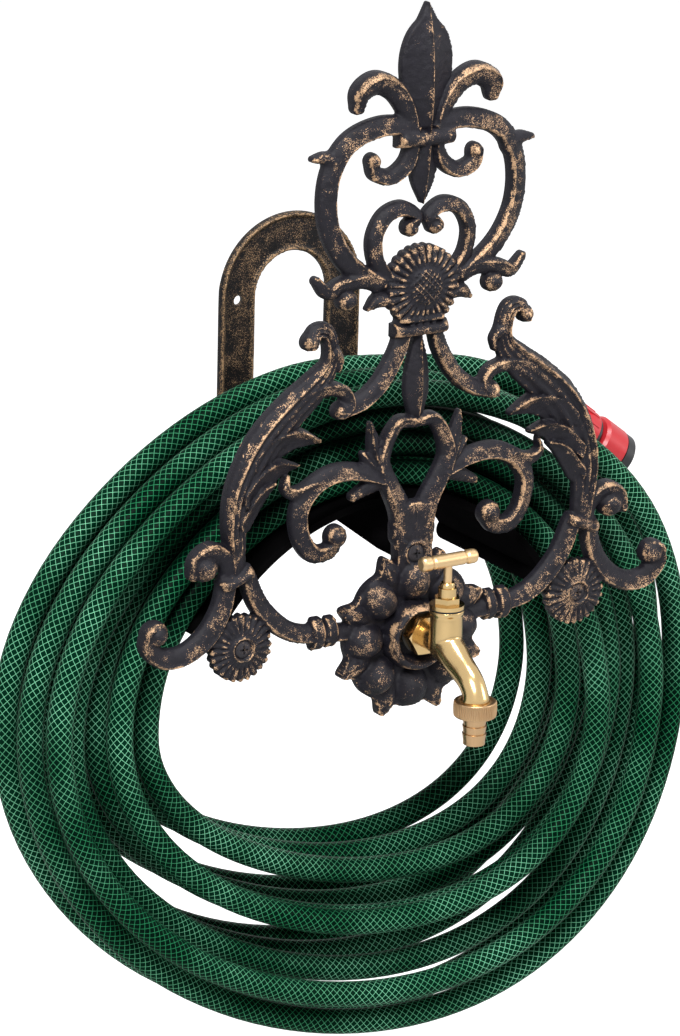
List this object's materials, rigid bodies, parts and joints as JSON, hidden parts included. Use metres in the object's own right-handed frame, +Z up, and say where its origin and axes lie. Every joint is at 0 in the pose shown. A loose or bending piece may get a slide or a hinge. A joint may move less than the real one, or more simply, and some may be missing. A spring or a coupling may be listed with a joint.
{
  "type": "wall hose holder",
  "caption": "Ornate cast-iron wall holder with a curved saddle that carries a coiled garden hose, and a brass garden tap through its flower.",
  "frame": {"origin": "on the wall plane, at the centre of the four wall screw holes", "axes": "+X to the right seen from the front, +Y into the wall, +Z up"},
  "size_m": [0.5027, 0.2504, 0.7108],
  "materials": {
    "bronzed_iron": "satin",
    "cast_iron": "satin",
    "blackened_steel": "satin",
    "polished_brass": "gloss",
    "satin_brass": "satin",
    "rubber": "matte",
    "packing": "matte",
    "green_hose": "gloss",
    "red_plastic": "satin",
    "black_plastic": "matte"
  },
  "bodies": {
    "holder": {"wall_arch": "bronzed_iron", "hose_saddle": "cast_iron", "saddle_web": "cast_iron", "saddle_edges": "cast_iron", "front_ornament": "bronzed_iron", "ornament_screws": "blackened_steel", "tap_body": "polished_brass", "inlet_gasket": "rubber", "tap_backnut": "satin_brass", "bonnet_washer": "rubber", "tap_bonnet": "polished_brass", "gland_packing": "packing", "gland_nut": "polished_brass", "hose_tail_piece": "satin_brass", "tail_washer": "rubber", "hose_coil": "green_hose", "outer_grip_nut": "red_plastic", "outer_connector": "black_plastic", "outer_seal": "rubber", "inner_grip_nut": "red_plastic", "inner_connector": "black_plastic", "inner_seal": "rubber"},
    "jumper": {"valve_jumper": "satin_brass", "valve_washer": "rubber"},
    "spindle": {"tap_spindle": "satin_brass", "tap_handle": "satin_brass"},
    "nut": {"union_nut": "satin_brass"},
    "outer_release": {"outer_sleeve": "red_plastic"},
    "inner_release": {"inner_sleeve": "red_plastic"}
  },
  "joints": [
    {"name": "valve_lift", "type": "slide", "parent": "holder", "child": "jumper", "axis": [0, 0, 1], "range_m": [0, 0.005]},
    {"name": "handle_turn", "type": "hinge", "parent": "holder", "child": "spindle", "pos_m": [0, -0.2005, -0.12], "axis": [0, 0, 1], "range_deg": [0, 720]},
    {"name": "nut_turn", "type": "hinge", "parent": "holder", "child": "nut", "pos_m": [0, -0.2365, -0.12], "axis": [0, 0, -1], "range_deg": [0, 360]},
    {"name": "outer_release_slide", "type": "slide", "parent": "holder", "child": "outer_release", "axis": [-0.8, 0, 0.6], "range_m": [0, 0.003], "stiffness_N_per_m": 600, "springref_m": -0.002},
    {"name": "inner_release_slide", "type": "slide", "parent": "holder", "child": "inner_release", "axis": [-0.2136, 0.0305, 0.9764], "range_m": [0, 0.003], "stiffness_N_per_m": 600, "springref_m": -0.002}
  ],
  "couplings": [
    {"joint": "handle_turn", "follows": "valve_lift", "rad_per_m": 2513}
  ]
}
